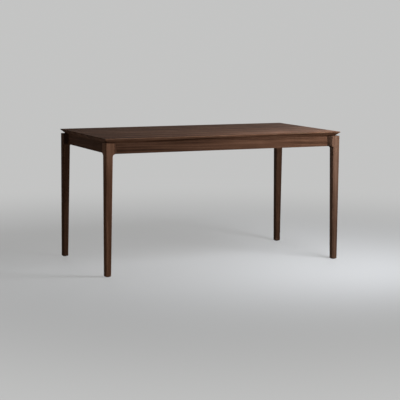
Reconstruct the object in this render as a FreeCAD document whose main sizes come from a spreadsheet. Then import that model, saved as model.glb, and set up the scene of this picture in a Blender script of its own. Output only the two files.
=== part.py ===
import FreeCAD, Part
import math
import os
import types
import Sketcher

# Dining table of solid wood: an edge-glued top with an undercut edge, four tapered legs whose heads
# swell into shoulders, four recessed aprons, and the joinery that holds them together.
# Millimetres. The origin is on the floor under the middle of the top: X runs along the table,
# Y across it with the front at -Y, and Z up.

doc = FreeCAD.newDocument("dining_table")

# Driving sizes
SIZES = {
    # top
    "table_length": 1480,
    "table_width": 730,
    "table_height": 760,
    "top_thickness": 25,
    "top_edge_height": 4,
    "bevel_run": 24,
    "board_count": 5,
    "top_arris": 1.2,
    # aprons
    "apron_height": 61,
    "apron_thickness": 24,
    "apron_reveal": 1,
    "apron_arris": 1.5,
    # legs
    "leg_inset": 1.5,
    "leg_head_width": 44,
    "leg_foot_width": 34,
    "leg_rounding": 7,
    "shoulder_reach": 28,
    "shoulder_bend": 13,
    "seat_hollow": 5,
    "cheek_lead": 8,
    "cheek_rounding": 4,
    "foot_chamfer": 2,
    # floor glides
    "glide_diameter": 22,
    "glide_thickness": 3,
    "glide_chamfer": 1,
    "glide_pin_diameter": 4,
    "glide_pin_length": 15,
    # dowels between legs and aprons
    "dowel_diameter": 8,
    "dowel_depth": 18,
    "dowel_spacing": 36,
    # corner blocks, and the hanger bolts that pull the legs in
    "block_gap": 10,
    "block_thickness": 28,
    "block_height": 44,
    "bolt_diameter": 8,
    "bolt_grip": 36,
    "bolt_spacing": 22,
    "bolt_end": 4,
    "washer_diameter": 18,
    "washer_thickness": 1.6,
    "nut_flats": 13,
    "nut_height": 6.5,
    # pan-head screws from the corner blocks into the aprons
    "block_screw_diameter": 4,
    "block_screw_head": 8,
    "block_screw_head_height": 2.6,
    "block_screw_grip": 12,
    "block_screw_spacing": 24,
    # groove inside the aprons, and the buttons and rails that hook into it
    "groove_drop": 12,
    "groove_width": 8,
    "groove_depth": 10,
    "groove_margin": 10,
    "tongue_slack": 1,
    "tongue_end_room": 1.5,
    "button_gap": 2,
    "button_reach": 32,
    "button_width": 28,
    "rail_width": 60,
    "rail_spacing": 500,
    "tenon_shoulder": 2,
    # countersunk screws up into the top
    "top_screw_diameter": 4.5,
    "top_screw_head": 9,
    "countersink_height": 2.7,
    # fits
    "screw_cover": 8,
    "hole_end_room": 1,
    "fit_clearance": 0.1,
    "overrun": 5,
}


class Size:
    """A size that follows the sheet: its number now, and the expression that keeps it current."""

    def __init__(self, number, text):
        self.number = number
        self.text = text

    def join(self, sign, number, other):
        text = other.text if isinstance(other, Size) else repr(other)
        return Size(number, f"({self.text} {sign} {text})")

    def __add__(self, other):
        return self.join("+", self.number + plain(other), other)

    def __sub__(self, other):
        return self.join("-", self.number - plain(other), other)

    def __mul__(self, other):
        return self.join("*", self.number * plain(other), other)

    def __truediv__(self, other):
        return self.join("/", self.number / plain(other), other)

    def __neg__(self):
        return Size(-self.number, f"(-1 * {self.text})")


def plain(value):
    """The number in a size, or a bare zero as it is."""
    return value.number if isinstance(value, Size) else value


def make_sheet():
    """Write the driving sizes into a sheet, one named cell each, and return them by name."""
    sheet = doc.addObject("Spreadsheet::Sheet", "Sizes")
    named = {}
    for row, (alias, number) in enumerate(SIZES.items(), start=1):
        sheet.set(f"A{row}", alias)
        sheet.set(f"B{row}", str(number))
        sheet.setAlias(f"B{row}", alias)
        named[alias] = Size(number, f"Sizes.{alias}")
    doc.recompute()
    return types.SimpleNamespace(**named)


size = make_sheet()

# Sizes and places that follow from the driving ones. Those in a corner of the table are measured
# in from the corner of the top.
DIAGONAL = math.sqrt(2)
half_length = size.table_length / 2
half_width = size.table_width / 2
board_width = size.table_width / size.board_count
underside = size.table_height - size.top_thickness
rim = size.table_height - size.top_edge_height
apron_bottom = underside - size.apron_height
apron_middle = underside - size.apron_height / 2
apron_face = size.bevel_run + size.apron_reveal
apron_centre = apron_face + size.apron_thickness / 2
apron_back = apron_face + size.apron_thickness
foot_height = size.glide_thickness
foot_inner = size.leg_inset + size.leg_foot_width
foot_centre = size.leg_inset + size.leg_foot_width / 2
leg_inner = size.leg_inset + size.leg_head_width
shoulder_end = leg_inner + size.shoulder_reach
bend_end = leg_inner + size.shoulder_bend
shoulder_foot = apron_bottom - size.shoulder_bend
leg_seat = (shoulder_end + apron_back) / 2
leg_hollow = leg_seat - size.seat_hollow
block_near = shoulder_end + size.block_gap * DIAGONAL
block_far = block_near + size.block_thickness * DIAGONAL
block_bottom = apron_middle - size.block_height / 2
block_seat = (block_far + apron_back) / 2
nut_seat = block_seat + size.washer_thickness / DIAGONAL
bolt_start = leg_seat - size.bolt_grip / DIAGONAL
bolt_stack = size.washer_thickness + size.nut_height + size.bolt_end
bolt_length = size.bolt_grip + size.block_gap + size.block_thickness + bolt_stack
block_screw_place = (block_near + block_far) / 2
block_screw_point = apron_face + size.screw_cover
block_screw_seat = apron_back + size.block_screw_grip
groove_start = block_far + size.groove_margin
groove_top = underside - size.groove_drop
groove_bottom = groove_top - size.groove_width
tongue_end = apron_back - size.groove_depth + size.tongue_end_room
button_bottom = groove_bottom + size.tongue_slack
button_near = apron_back + size.button_gap
button_far = button_near + size.button_reach
button_screw_place = button_near + size.button_reach / 2
rail_place = size.rail_spacing / 2
rail_bottom = groove_bottom - size.tenon_shoulder
side_button_place = (rail_place + size.rail_width / 2 + half_length - groove_start) / 2
top_screw_point = size.table_height - size.screw_cover

ALONG = FreeCAD.Vector(1, 0, 0)
ACROSS = FreeCAD.Vector(0, 1, 0)
UP = FreeCAD.Vector(0, 0, 1)
INWARD = FreeCAD.Vector(1, 1, 0)
TOUCH = plain(size.fit_clearance) / 10

parts = {}


# Helpers for places, sketches and features

def bind(item, name, value):
    """Tie one property of an object to the sheet."""
    item.setExpression(name, value.text)


def place(item, x=0, y=0, z=0, direction=UP):
    """Turn an object's upright axis to a direction, and tie its place to the sheet."""
    item.Placement = FreeCAD.Placement(FreeCAD.Vector(), FreeCAD.Rotation(UP, direction))
    for axis, value in (("x", x), ("y", y), ("z", z)):
        if isinstance(value, Size):
            bind(item, f"Placement.Base.{axis}", value)


def corner(along, across):
    """Place in the front left corner of the table, measured in from the corner of the top."""
    return {"x": along - half_length, "y": across - half_width}


def keep(item, label):
    """Give a finished piece the name of its file."""
    item.Label = label
    parts[label] = item
    return item


def new_body(name):
    return doc.addObject("PartDesign::Body", name)


def new_sketch(body, plane, name):
    """Empty sketch on one of the body's own planes."""
    sketch = body.newObject("Sketcher::SketchObject", name)
    origin_plane = [item for item in body.Origin.OriginFeatures if item.Role == plane][0]
    sketch.AttachmentSupport = [(origin_plane, "")]
    sketch.MapMode = "FlatFace"
    return sketch


def flat_point(spot):
    return FreeCAD.Vector(plain(spot[0]), plain(spot[1]), 0)


def pin(sketch, line, end, spot):
    """Tie one point of a sketch line, across and up, to the sheet."""
    for kind, axis, value in (("DistanceX", -2, spot[0]), ("DistanceY", -1, spot[1])):
        if not isinstance(value, Size):
            sketch.addConstraint(Sketcher.Constraint("PointOnObject", line, end, axis))
            continue
        number = sketch.addConstraint(Sketcher.Constraint(kind, line, end, value.number))
        bind(sketch, f"Constraints[{number}]", value)


def add_chain(sketch, spots):
    """Add straight lines through the spots, all but the last spot tied to the sheet."""
    first = sketch.GeometryCount
    for start, end in zip(spots, spots[1:]):
        sketch.addGeometry(Part.LineSegment(flat_point(start), flat_point(end)))
    last = sketch.GeometryCount - 1
    for line in range(first, last):
        sketch.addConstraint(Sketcher.Constraint("Coincident", line, 2, line + 1, 1))
    for line, spot in enumerate(spots[:-1], start=first):
        pin(sketch, line, 1, spot)
    return first, last


def add_loop(sketch, spots):
    """Add a closed outline of straight lines."""
    first, last = add_chain(sketch, spots + spots[:1])
    sketch.addConstraint(Sketcher.Constraint("Coincident", last, 2, first, 1))


def pad(body, sketch, length, side="Symmetric", backwards=False):
    feature = body.newObject("PartDesign::Pad", sketch.Name + "_pad")
    feature.Profile = sketch
    feature.SideType = side
    feature.Reversed = backwards
    bind(feature, "Length", length)
    doc.recompute()


def cut_through(body, sketch):
    """Cut a sketch right through the body, both ways, and see that it took something away."""
    before = body.Shape.Volume
    feature = body.newObject("PartDesign::Pocket", sketch.Name + "_cut")
    feature.Profile = sketch
    feature.Type = "ThroughAll"
    feature.SideType = "Symmetric"
    doc.recompute()
    if not body.Shape.Volume < before:
        raise RuntimeError(sketch.Name + " cuts nothing")


def edges_where(body, wanted):
    """Names of the body's edges whose end points pass a test, in the body's own frame."""
    names = []
    for number, edge in enumerate(body.Tip.Shape.Edges, start=1):
        if wanted([vertex.Point for vertex in edge.Vertexes]):
            names.append(f"Edge{number}")
    return names


def near(number, value):
    return abs(number - plain(value)) < TOUCH


def dress(body, kind, names, property_name, value):
    """Round or chamfer named edges of the body's last feature."""
    base = body.Tip
    feature = body.newObject("PartDesign::" + kind, f"{body.Name}_{kind}")
    feature.Base = (base, names)
    bind(feature, property_name, value)
    doc.recompute()


def rod(name, diameter, length, x, y, z, direction):
    """Round bar from a place in a direction, as a pin or as a drill."""
    item = doc.addObject("Part::Cylinder", name)
    bind(item, "Radius", diameter / 2)
    bind(item, "Height", length)
    place(item, x, y, z, direction)
    return item


def group(name, items):
    item = doc.addObject("Part::Compound", name)
    item.Links = items
    return item


def fuse(name, first, second):
    item = doc.addObject("Part::Fuse", name)
    item.Base = first
    item.Tool = second
    return item


def cut(name, base, tools):
    item = doc.addObject("Part::Cut", name)
    item.Base = base
    item.Tool = group(name + "_tools", tools)
    return item


def mirror(name, source, direction):
    """The same piece on the other side of the table's middle."""
    item = doc.addObject("Part::Mirroring", name)
    item.Source = source
    item.Normal = direction
    return item


def both_ends(source):
    name = source.Name + "_both_ends"
    return group(name, [source, mirror(source.Name + "_right", source, ALONG)])


def both_sides(source):
    name = source.Name + "_both_sides"
    return group(name, [source, mirror(source.Name + "_back", source, ACROSS)])


def four_corners(source):
    return both_sides(both_ends(source))


def drilled(diameter):
    """Diameter of the hole for a pin."""
    return diameter + size.fit_clearance * 2


def levels(spacing):
    """The lower and the upper of two heights about the middle of the aprons."""
    return [("low", apron_middle - spacing / 2), ("high", apron_middle + spacing / 2)]


# Dowels: two in each joint of an apron with a leg

def dowel_bars(name, diameter, depth):
    """Bars through the front left leg's joints: those in the front apron, those in the left one."""
    start = shoulder_end - depth
    front = []
    left = []
    for level, z in levels(size.dowel_spacing):
        front.append(rod(f"{name}_front_{level}", diameter, depth * 2,
                         **corner(start, apron_centre), z=z, direction=ALONG))
        left.append(rod(f"{name}_left_{level}", diameter, depth * 2,
                        **corner(apron_centre, start), z=z, direction=ACROSS))
    return group(name + "_front", front), group(name + "_left", left)


# Hanger bolts: two along each corner's diagonal, from the leg through the corner block

def bolt_bars(name, diameter, start, length):
    bars = []
    for level, z in levels(size.bolt_spacing):
        bars.append(rod(f"{name}_{level}", diameter, length, **corner(start, start), z=z, direction=INWARD))
    return bars


def hex_nuts():
    nuts = []
    for level, z in levels(size.bolt_spacing):
        nut = doc.addObject("Part::Prism", f"nut_blank_{level}")
        nut.Polygon = 6
        bind(nut, "Circumradius", size.nut_flats / math.sqrt(3))
        bind(nut, "Height", size.nut_height)
        place(nut, **corner(nut_seat, nut_seat), z=z, direction=INWARD)
        nuts.append(nut)
    return nuts


# Block screws: two from each corner block square into each of its aprons

def block_screw_bars(name, diameter, start, length):
    """Bars in the front left block: those into the front apron, those into the left one."""
    front = []
    left = []
    for level, z in levels(size.block_screw_spacing):
        front.append(rod(f"{name}_front_{level}", diameter, length,
                         **corner(block_screw_place, start), z=z, direction=ACROSS))
        left.append(rod(f"{name}_left_{level}", diameter, length,
                        **corner(start, block_screw_place), z=z, direction=ALONG))
    return front, left


def block_screws():
    length = block_screw_seat - block_screw_point
    shanks = block_screw_bars("block_screw_shank", size.block_screw_diameter, block_screw_point, length)
    heads = block_screw_bars("block_screw_head", size.block_screw_head, block_screw_seat,
                             size.block_screw_head_height)
    screws = []
    for shank, head in zip(shanks[0] + shanks[1], heads[0] + heads[1]):
        screws.append(fuse("block_screw", shank, head))
    return screws


# Top screws: a countersunk head and its shank, and the drill as a looser copy of them

def countersunk(name, x, y, bottom, head_diameter, shank_diameter, point):
    head = doc.addObject("Part::Cone", name + "_head")
    bind(head, "Radius1", head_diameter / 2)
    bind(head, "Radius2", shank_diameter / 2)
    bind(head, "Height", size.countersink_height)
    place(head, x, y, bottom)
    neck = bottom + size.countersink_height
    shank = rod(name + "_shank", shank_diameter, point - neck, x, y, neck, UP)
    return fuse(name, head, shank)


def top_screw(name, x, y, bottom):
    """The screw at a place, and the drill for it."""
    screw = countersunk(name, x, y, bottom, size.top_screw_head, size.top_screw_diameter, top_screw_point)
    drill = countersunk(name + "_drill", x, y, bottom, drilled(size.top_screw_head),
                        drilled(size.top_screw_diameter), top_screw_point + size.hole_end_room)
    return screw, drill


# Top: boards glued edge to edge, with the undercut bevel all round and a small eased arris

def top_board(index, drills):
    first = index == 0
    last = index == SIZES["board_count"] - 1
    front = board_width * index - half_width
    back = front + board_width
    body = new_body(f"board_blank_{index}")
    outline = [(front, size.table_height), (back, size.table_height)]
    outline += [(back, rim), (back - size.bevel_run, underside)] if last else [(back, underside)]
    outline += [(front + size.bevel_run, underside), (front, rim)] if first else [(front, underside)]
    section = new_sketch(body, "YZ_Plane", f"board_section_{index}")
    add_loop(section, outline)
    pad(body, section, size.table_length)

    bevel_top = half_length - size.bevel_run
    outside = half_length + size.overrun
    below = underside - size.overrun
    bevel = [(half_length, rim), (outside, rim), (outside, below), (bevel_top, below), (bevel_top, underside)]
    ends = new_sketch(body, "XZ_Plane", f"board_ends_{index}")
    add_loop(ends, bevel)
    add_loop(ends, [(-x, z) for x, z in bevel])
    cut_through(body, ends)

    def shown_edge(points):
        on_top = all(near(point.z, size.table_height) for point in points)
        at_end = near(points[0].x, points[-1].x)
        at_front = first and all(near(point.y, front) for point in points)
        at_back = last and all(near(point.y, back) for point in points)
        return on_top and (at_end or at_front or at_back)

    dress(body, "Fillet", edges_where(body, shown_edge), "Radius", size.top_arris)
    keep(cut(f"board_{index}", body, drills), f"top_board_{index + 1}")


# Legs: a square post, tapered on its two inner faces, whose head bends out into a shoulder along
# each apron. The shoulders fall back to the aprons' faces in a slanted cheek. Inside, between the
# aprons, the head is hollowed in a shallow V.

def leg_outline(body, plane, name, others):
    """Outline with the leg's inner line: up the taper and round the bend, then on round the others."""
    sketch = new_sketch(body, plane, name)
    foot = (foot_inner, foot_height)
    first, last = add_chain(sketch, [(bend_end, apron_bottom)] + others + [foot])
    pin(sketch, last, 2, foot)
    taper_end = flat_point((leg_inner, shoulder_foot))
    taper = sketch.addGeometry(Part.LineSegment(flat_point(foot), taper_end))
    bend_centre = (bend_end, shoulder_foot)
    circle = Part.Circle(flat_point(bend_centre), UP, plain(size.shoulder_bend))
    bend = sketch.addGeometry(Part.ArcOfCircle(circle, math.pi / 2, math.pi))
    sketch.addConstraint(Sketcher.Constraint("Coincident", last, 2, taper, 1))
    sketch.addConstraint(Sketcher.Constraint("Tangent", taper, 2, bend, 2))
    sketch.addConstraint(Sketcher.Constraint("Coincident", bend, 1, first, 1))
    pin(sketch, bend, 3, bend_centre)
    return sketch


def leg_blank():
    inset = size.leg_inset
    body = new_body("leg_blank")
    outer = [(shoulder_end, apron_bottom), (shoulder_end, underside), (inset, underside), (inset, foot_height)]
    side = leg_outline(body, "XZ_Plane", "leg_side", outer)
    bind(side, "AttachmentOffset.Base.z", -inset)
    pad(body, side, shoulder_end - inset, "One side", backwards=True)

    outside = shoulder_end + size.overrun
    below = foot_height - size.overrun
    waste = [(outside, apron_bottom), (outside, below), (foot_inner, below)]
    cut_through(body, leg_outline(body, "YZ_Plane", "leg_waste", waste))

    def rises(points):
        low, high = sorted((points[0].z, points[-1].z))
        return near(low, foot_height) and high > plain(shoulder_foot)

    def inner_arris(points):
        inside = all(near(point.x, point.y) and point.x > plain(inset) + TOUCH for point in points)
        return rises(points) and inside

    def outer_arris(points):
        return rises(points) and not inner_arris(points)

    dress(body, "Fillet", edges_where(body, outer_arris), "Radius", size.leg_rounding)
    dress(body, "Fillet", edges_where(body, inner_arris), "Radius", size.leg_rounding)

    lead = leg_inner + size.cheek_lead
    before = inset - size.overrun
    cheek = [(lead, inset), (shoulder_end, apron_face), (outside, apron_face), (outside, before), (lead, before)]
    seat = [(shoulder_end, apron_back), (outside, apron_back), (outside, outside),
            (apron_back, outside), (apron_back, shoulder_end), (leg_hollow, leg_hollow)]
    plan = new_sketch(body, "XY_Plane", "leg_plan")
    add_loop(plan, cheek)
    add_loop(plan, [(across, along) for along, across in cheek])
    add_loop(plan, seat)
    cut_through(body, plan)

    def cheek_edge(points):
        spots = [sorted((point.x, point.y)) for point in points]
        return all(near(low, inset) and near(high, lead) for low, high in spots)

    def foot_edge(points):
        return all(near(point.z, foot_height) for point in points)

    dress(body, "Fillet", edges_where(body, cheek_edge), "Radius", size.cheek_rounding)
    dress(body, "Chamfer", edges_where(body, foot_edge), "Size", size.foot_chamfer)
    place(body, x=-half_length, y=-half_width)
    return body


# Glides: a hard disc under each foot, with the pin that holds it in the leg

def glide():
    body = new_body("glide_blank")
    rim_radius = size.glide_diameter / 2
    pin_radius = size.glide_pin_diameter / 2
    pin_top = size.glide_thickness + size.glide_pin_length
    profile = new_sketch(body, "XZ_Plane", "glide_profile")
    add_loop(profile, [
        (0, 0),
        (rim_radius - size.glide_chamfer, 0),
        (rim_radius, size.glide_chamfer),
        (rim_radius, size.glide_thickness),
        (pin_radius, size.glide_thickness),
        (pin_radius, pin_top),
        (0, pin_top),
    ])
    turned = body.newObject("PartDesign::Revolution", "glide_turned")
    turned.Profile = profile
    turned.ReferenceAxis = (profile, ["V_Axis"])
    turned.Angle = 360
    place(body, **corner(foot_centre, foot_centre))
    return body


# Aprons: boards on edge between the legs, with a groove inside for the buttons and rails

def apron(name, plane, edge, length, tools):
    """An apron set in from one edge of the top, drilled and grooved by its tools."""
    body = new_body(name + "_blank")
    section = new_sketch(body, plane, name + "_section")
    face = apron_face + edge
    back = apron_back + edge
    add_loop(section, [(face, apron_bottom), (back, apron_bottom), (back, underside), (face, underside)])
    pad(body, section, length)

    def lower_edge(points):
        low = all(near(point.z, apron_bottom) for point in points)
        return low and near(points[0].distanceToPoint(points[-1]), length)

    dress(body, "Fillet", edges_where(body, lower_edge), "Radius", size.apron_arris)
    return cut(name, body, tools)


def groove(name, length, width, x, y):
    item = doc.addObject("Part::Box", name)
    bind(item, "Length", length)
    bind(item, "Width", width)
    bind(item, "Height", size.groove_width)
    place(item, x, y, groove_bottom)
    return item


# Corner blocks: braces across each corner, between the aprons

def corner_block(tools):
    body = new_body("block_blank")
    plan = new_sketch(body, "XY_Plane", "block_plan")
    bind(plan, "AttachmentOffset.Base.z", block_bottom)
    add_loop(plan, [(block_near, apron_back), (block_far, apron_back),
                    (apron_back, block_far), (apron_back, block_near)])
    pad(body, plan, size.block_height, "One side")
    place(body, x=-half_length, y=-half_width)
    return cut("block", body, tools)


# Buttons: blocks under the top whose tongues hook into the aprons' groove

def button(name, plane, drill, **spot):
    body = new_body(name + "_blank")
    section = new_sketch(body, plane, name + "_section")
    add_loop(section, [
        (tongue_end, groove_top),
        (button_near, groove_top),
        (button_near, underside),
        (button_far, underside),
        (button_far, button_bottom),
        (tongue_end, button_bottom),
    ])
    pad(body, section, size.button_width)
    place(body, **spot)
    return cut(name, body, [drill])


# Cross rails: flat bearers under the top, stub-tenoned into the long aprons' grooves

def cross_rail(drills):
    body = new_body("rail_blank")
    shoulder = apron_back - half_width
    tenon_tip = tongue_end - half_width
    tenon_top = groove_top - size.fit_clearance
    tenon_bottom = groove_bottom + size.fit_clearance
    front = [
        (shoulder, underside),
        (shoulder, tenon_top),
        (tenon_tip, tenon_top),
        (tenon_tip, tenon_bottom),
        (shoulder, tenon_bottom),
        (shoulder, rail_bottom),
    ]
    section = new_sketch(body, "YZ_Plane", "rail_section")
    add_loop(section, front + [(-y, z) for y, z in reversed(front)])
    pad(body, section, size.rail_width)
    place(body, x=-rail_place)
    return cut("rail", body, drills)


# Drills that more than one piece shares

dowel_drills = dowel_bars("dowel_drill", drilled(size.dowel_diameter), size.dowel_depth + size.hole_end_room)
bolt_drills = bolt_bars("bolt_drill", drilled(size.bolt_diameter),
                        bolt_start - size.hole_end_room / DIAGONAL,
                        bolt_length + size.hole_end_room + size.overrun)
screw_drill_start = block_screw_point - size.hole_end_room
screw_drills = block_screw_bars("block_screw_drill", drilled(size.block_screw_diameter),
                                screw_drill_start, block_screw_seat - screw_drill_start)
head_drills = block_screw_bars("block_head_drill", drilled(size.block_screw_head),
                               block_screw_seat, block_far - block_near)
pin_drill = rod("pin_drill", drilled(size.glide_pin_diameter),
                size.glide_pin_length + size.hole_end_room + size.overrun,
                **corner(foot_centre, foot_centre), z=foot_height - size.overrun, direction=UP)

# Buttons, rails and their screws in the front left quarter, then the rest of each set

front_line = button_screw_place - half_width
left_line = button_screw_place - half_length
middle_screw, middle_drill = top_screw("middle_button_screw", 0, front_line, button_bottom)
side_screw, side_drill = top_screw("side_button_screw", -side_button_place, front_line, button_bottom)
end_screw, end_drill = top_screw("end_button_screw", left_line, 0, button_bottom)
rail_screws = []
rail_drills = []
for rail_line in (-board_width, 0, board_width):
    rail_screw, rail_drill = top_screw("rail_screw", -rail_place, rail_line, rail_bottom)
    rail_screws.append(rail_screw)
    rail_drills.append(rail_drill)

middle_button = button("middle_button", "YZ_Plane", middle_drill, y=-half_width)
side_button = button("side_button", "YZ_Plane", side_drill, x=-side_button_place, y=-half_width)
end_button = button("end_button", "XZ_Plane", end_drill, x=-half_length)


def button_set(name, middle, side, end):
    """One of a kind at each button: the long aprons' middles and sides, the short aprons' middles."""
    return group(name, [both_sides(middle), four_corners(side), both_ends(end)])


keep(button_set("buttons", middle_button, side_button, end_button), "top_buttons")
keep(button_set("button_screws", middle_screw, side_screw, end_screw), "button_screws")
keep(both_ends(group("rail_screw_row", rail_screws)), "rail_screws")
top_drills = [button_set("button_drills", middle_drill, side_drill, end_drill),
              both_ends(group("rail_drill_row", rail_drills))]

for board in range(SIZES["board_count"]):
    top_board(board, top_drills)

left_rail = keep(cross_rail(rail_drills), "cross_rail_left")
keep(mirror("right_rail", left_rail, ALONG), "cross_rail_right")

# Aprons

long_groove = groove("long_groove", size.table_length - groove_start * 2, size.groove_depth + size.overrun,
                     groove_start - half_length, apron_back - size.groove_depth - half_width)
short_groove = groove("short_groove", size.groove_depth + size.overrun, size.table_width - groove_start * 2,
                      apron_back - size.groove_depth - half_length, groove_start - half_width)
front_tools = [both_ends(group("front_drills", [dowel_drills[0]] + screw_drills[0])), long_groove]
left_tools = [both_sides(group("left_drills", [dowel_drills[1]] + screw_drills[1])), short_groove]
front_apron = keep(apron("front_apron", "YZ_Plane", -half_width, size.table_length - shoulder_end * 2,
                         front_tools), "apron_front")
left_apron = keep(apron("left_apron", "XZ_Plane", -half_length, size.table_width - shoulder_end * 2,
                        left_tools), "apron_left")
keep(mirror("back_apron", front_apron, ACROSS), "apron_back")
keep(mirror("right_apron", left_apron, ALONG), "apron_right")

# Legs, corner blocks and glides: the front left one of each, then its three twins

leg_tools = [dowel_drills[0], dowel_drills[1], pin_drill] + bolt_drills
block_tools = bolt_drills + screw_drills[0] + screw_drills[1] + head_drills[0] + head_drills[1]
quarters = {
    "leg": cut("leg", leg_blank(), leg_tools),
    "corner_block": corner_block(block_tools),
    "floor_glide": glide(),
}
for kind, front_left in quarters.items():
    front_right = mirror(kind + "_fr", front_left, ALONG)
    keep(front_left, kind + "_front_left")
    keep(front_right, kind + "_front_right")
    keep(mirror(kind + "_bl", front_left, ACROSS), kind + "_back_left")
    keep(mirror(kind + "_br", front_right, ACROSS), kind + "_back_right")

# Corner fasteners, one node for each kind

dowels = dowel_bars("dowel", size.dowel_diameter, size.dowel_depth)
bolts = bolt_bars("bolt", size.bolt_diameter, bolt_start, bolt_length)
washer_blanks = bolt_bars("washer_blank", size.washer_diameter, block_seat, size.washer_thickness)
fasteners = {
    "apron_dowels": group("dowel_corner", list(dowels)),
    "hanger_bolts": group("bolt_corner", bolts),
    "hanger_washers": cut("washer_corner", group("washer_blanks", washer_blanks), bolt_drills),
    "hanger_nuts": cut("nut_corner", group("nut_blanks", hex_nuts()), bolt_drills),
    "block_screws": group("block_screw_corner", block_screws()),
}
for label, quarter in fasteners.items():
    keep(four_corners(quarter), label)

doc.recompute()

# Every object has to be sound before anything is written

for item in doc.Objects:
    if "Invalid" in item.State or "Error" in item.State:
        raise RuntimeError(f"{item.Label} failed: {item.State}")
for label, item in parts.items():
    if item.Shape.isNull() or not item.Shape.isValid() or not item.Shape.Solids:
        raise RuntimeError(f"{label} has no sound shape")

os.makedirs("parts", exist_ok=True)
for label, item in parts.items():
    item.Shape.exportStep(f"parts/{label}.step")
    box = item.Shape.BoundBox
    print(f"{label}: {len(item.Shape.Solids)} solids, {item.Shape.Volume / 1000:.1f} cm3, "
          f"{box.XLength:.1f} x {box.YLength:.1f} x {box.ZLength:.1f} mm")
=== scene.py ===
# %% [markdown]
# # A dining table in dark walnut
# This lesson dresses a dining table whose shapes are already drawn in CAD. The drawing is loaded as a fixed
# frame, so no cell below moves a piece. What is left is what the eye reads as quality: the look of oiled
# wood, plain wood, zinc and nylon, the threads and flutes of the fasteners, and the light that shows them.

# %% Load the table
import math
import bmesh
import bpy
from mathutils import Matrix, Vector


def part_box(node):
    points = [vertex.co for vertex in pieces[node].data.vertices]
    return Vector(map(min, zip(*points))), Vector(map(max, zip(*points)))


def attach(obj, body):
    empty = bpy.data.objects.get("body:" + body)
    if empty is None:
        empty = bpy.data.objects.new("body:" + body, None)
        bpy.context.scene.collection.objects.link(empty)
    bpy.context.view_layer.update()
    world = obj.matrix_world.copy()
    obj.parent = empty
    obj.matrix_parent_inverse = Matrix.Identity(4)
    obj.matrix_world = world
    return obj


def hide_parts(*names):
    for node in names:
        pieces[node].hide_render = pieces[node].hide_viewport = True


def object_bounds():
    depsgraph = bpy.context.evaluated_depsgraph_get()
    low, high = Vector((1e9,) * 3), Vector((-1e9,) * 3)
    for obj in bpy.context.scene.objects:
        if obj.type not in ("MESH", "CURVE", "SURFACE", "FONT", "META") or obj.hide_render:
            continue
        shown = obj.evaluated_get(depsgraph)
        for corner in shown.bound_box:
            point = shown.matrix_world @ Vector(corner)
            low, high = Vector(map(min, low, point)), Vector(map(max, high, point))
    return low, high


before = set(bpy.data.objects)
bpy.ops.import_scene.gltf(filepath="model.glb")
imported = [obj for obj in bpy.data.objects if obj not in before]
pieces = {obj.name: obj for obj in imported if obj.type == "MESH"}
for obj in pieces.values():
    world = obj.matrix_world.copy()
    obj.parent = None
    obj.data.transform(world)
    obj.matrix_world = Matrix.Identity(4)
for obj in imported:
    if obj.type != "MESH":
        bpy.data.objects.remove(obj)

cad_low, cad_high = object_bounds()
print(len(pieces), "pieces, overall", [round(side, 3) for side in cad_high - cad_low], "m")

# %% [markdown]
# ## The camera
# Edges that are level in a room lean and draw together in a picture, and how much they do so says where the
# camera stood. Here that gives a long lens a little above the table top, turned to the left of the table.
# Angles could be dialled into the camera by hand. Writing its three directions into a matrix is exact, and
# it keeps the slight lean of the picture too.

# %% Place the camera
CAMERA_PLACE = Vector((-3.2230, -6.7223, 1.3656))
CAMERA_TURN = math.radians(25.637)
CAMERA_DIP = math.radians(7.797)
CAMERA_LEAN = math.radians(0.543)
CAMERA_LENS = 114.08


def camera_matrix(place, turn, dip, lean):
    """Matrix of a camera that is turned from the front of the table, dipped and leant."""
    level = Vector((math.cos(turn), -math.sin(turn), 0))
    ahead = Vector((math.sin(turn) * math.cos(dip), math.cos(turn) * math.cos(dip), -math.sin(dip)))
    above = level.cross(ahead)
    right = level * math.cos(lean) + above * math.sin(lean)
    upward = above * math.cos(lean) - level * math.sin(lean)
    turned_axes = Matrix((right, upward, -ahead)).transposed()
    return Matrix.Translation(place) @ turned_axes.to_4x4()


camera = bpy.data.objects.new("camera", bpy.data.cameras.new("camera"))
camera.data.lens = CAMERA_LENS
camera.matrix_world = camera_matrix(CAMERA_PLACE, CAMERA_TURN, CAMERA_DIP, CAMERA_LEAN)
bpy.context.scene.collection.objects.link(camera)
bpy.context.scene.camera = camera
print("camera", round(CAMERA_PLACE.length, 2), "m from the middle of the floor under the table")

# %% [markdown]
# ## Shader maths as Python
# A material is a graph of nodes, and drawing one by hand hides the arithmetic in the wires. The small class
# below wraps one socket. Adding or multiplying two of them adds a Math node, so a finish can be read as a
# formula. Every other node comes from one method: it takes the kind of node, its settings, which are set
# first, and then a value or a wire for each socket.

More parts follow.
